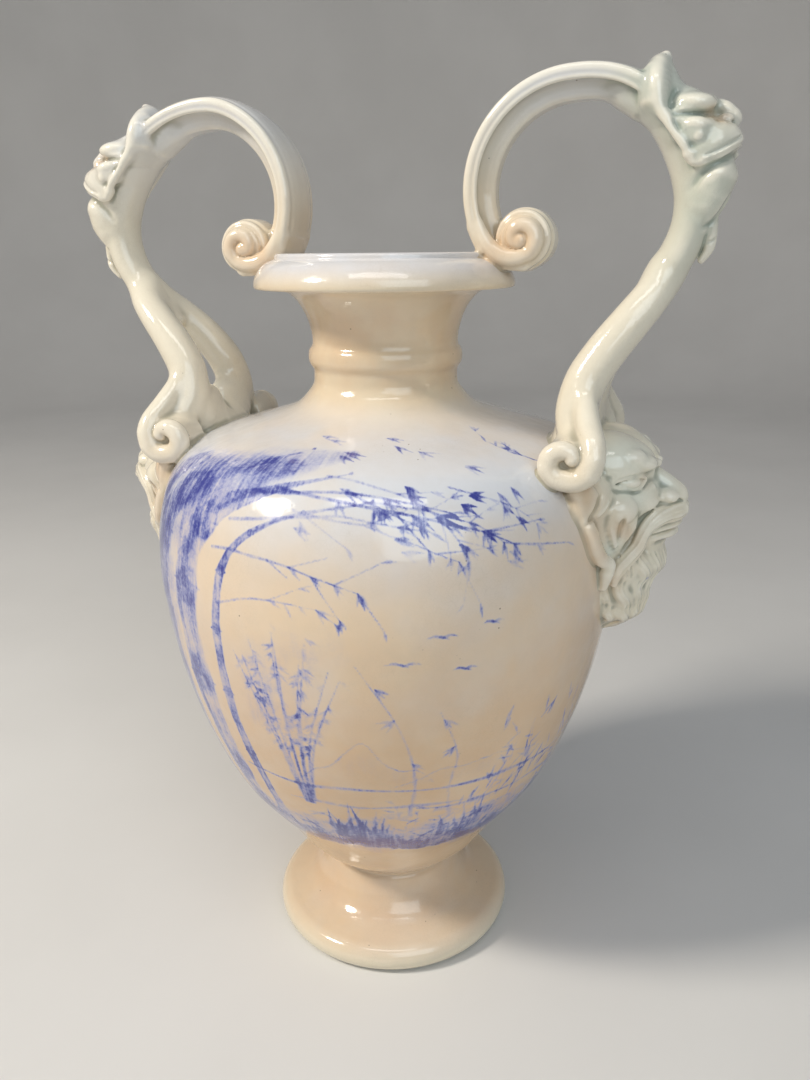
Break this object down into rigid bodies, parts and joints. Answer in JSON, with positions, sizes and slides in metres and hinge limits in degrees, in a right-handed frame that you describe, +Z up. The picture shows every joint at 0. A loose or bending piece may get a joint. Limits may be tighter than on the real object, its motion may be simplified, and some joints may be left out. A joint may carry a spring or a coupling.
{
  "type": "two-handled vase",
  "caption": "Ovoid glazed earthenware vase on a round foot, with a narrow ringed neck, a flat rim and two tall scrolled handles carrying grotesque masks.",
  "frame": {"origin": "centre of the underside of the foot, on the axis of the body, at the level the vase stands on", "axes": "+Z up along the axis of the body; +X towards one handle and -X towards the other, so both handles lie in the XZ plane; +Y away from the painted front"},
  "size_m": [0.3965, 0.2934, 0.5605],
  "materials": {
    "glazed_earthenware": "glossy cream-white crackled glaze with cobalt blue painting"
  },
  "bodies": {
    "root": {"vase": "glazed_earthenware"}
  },
  "joints": []
}
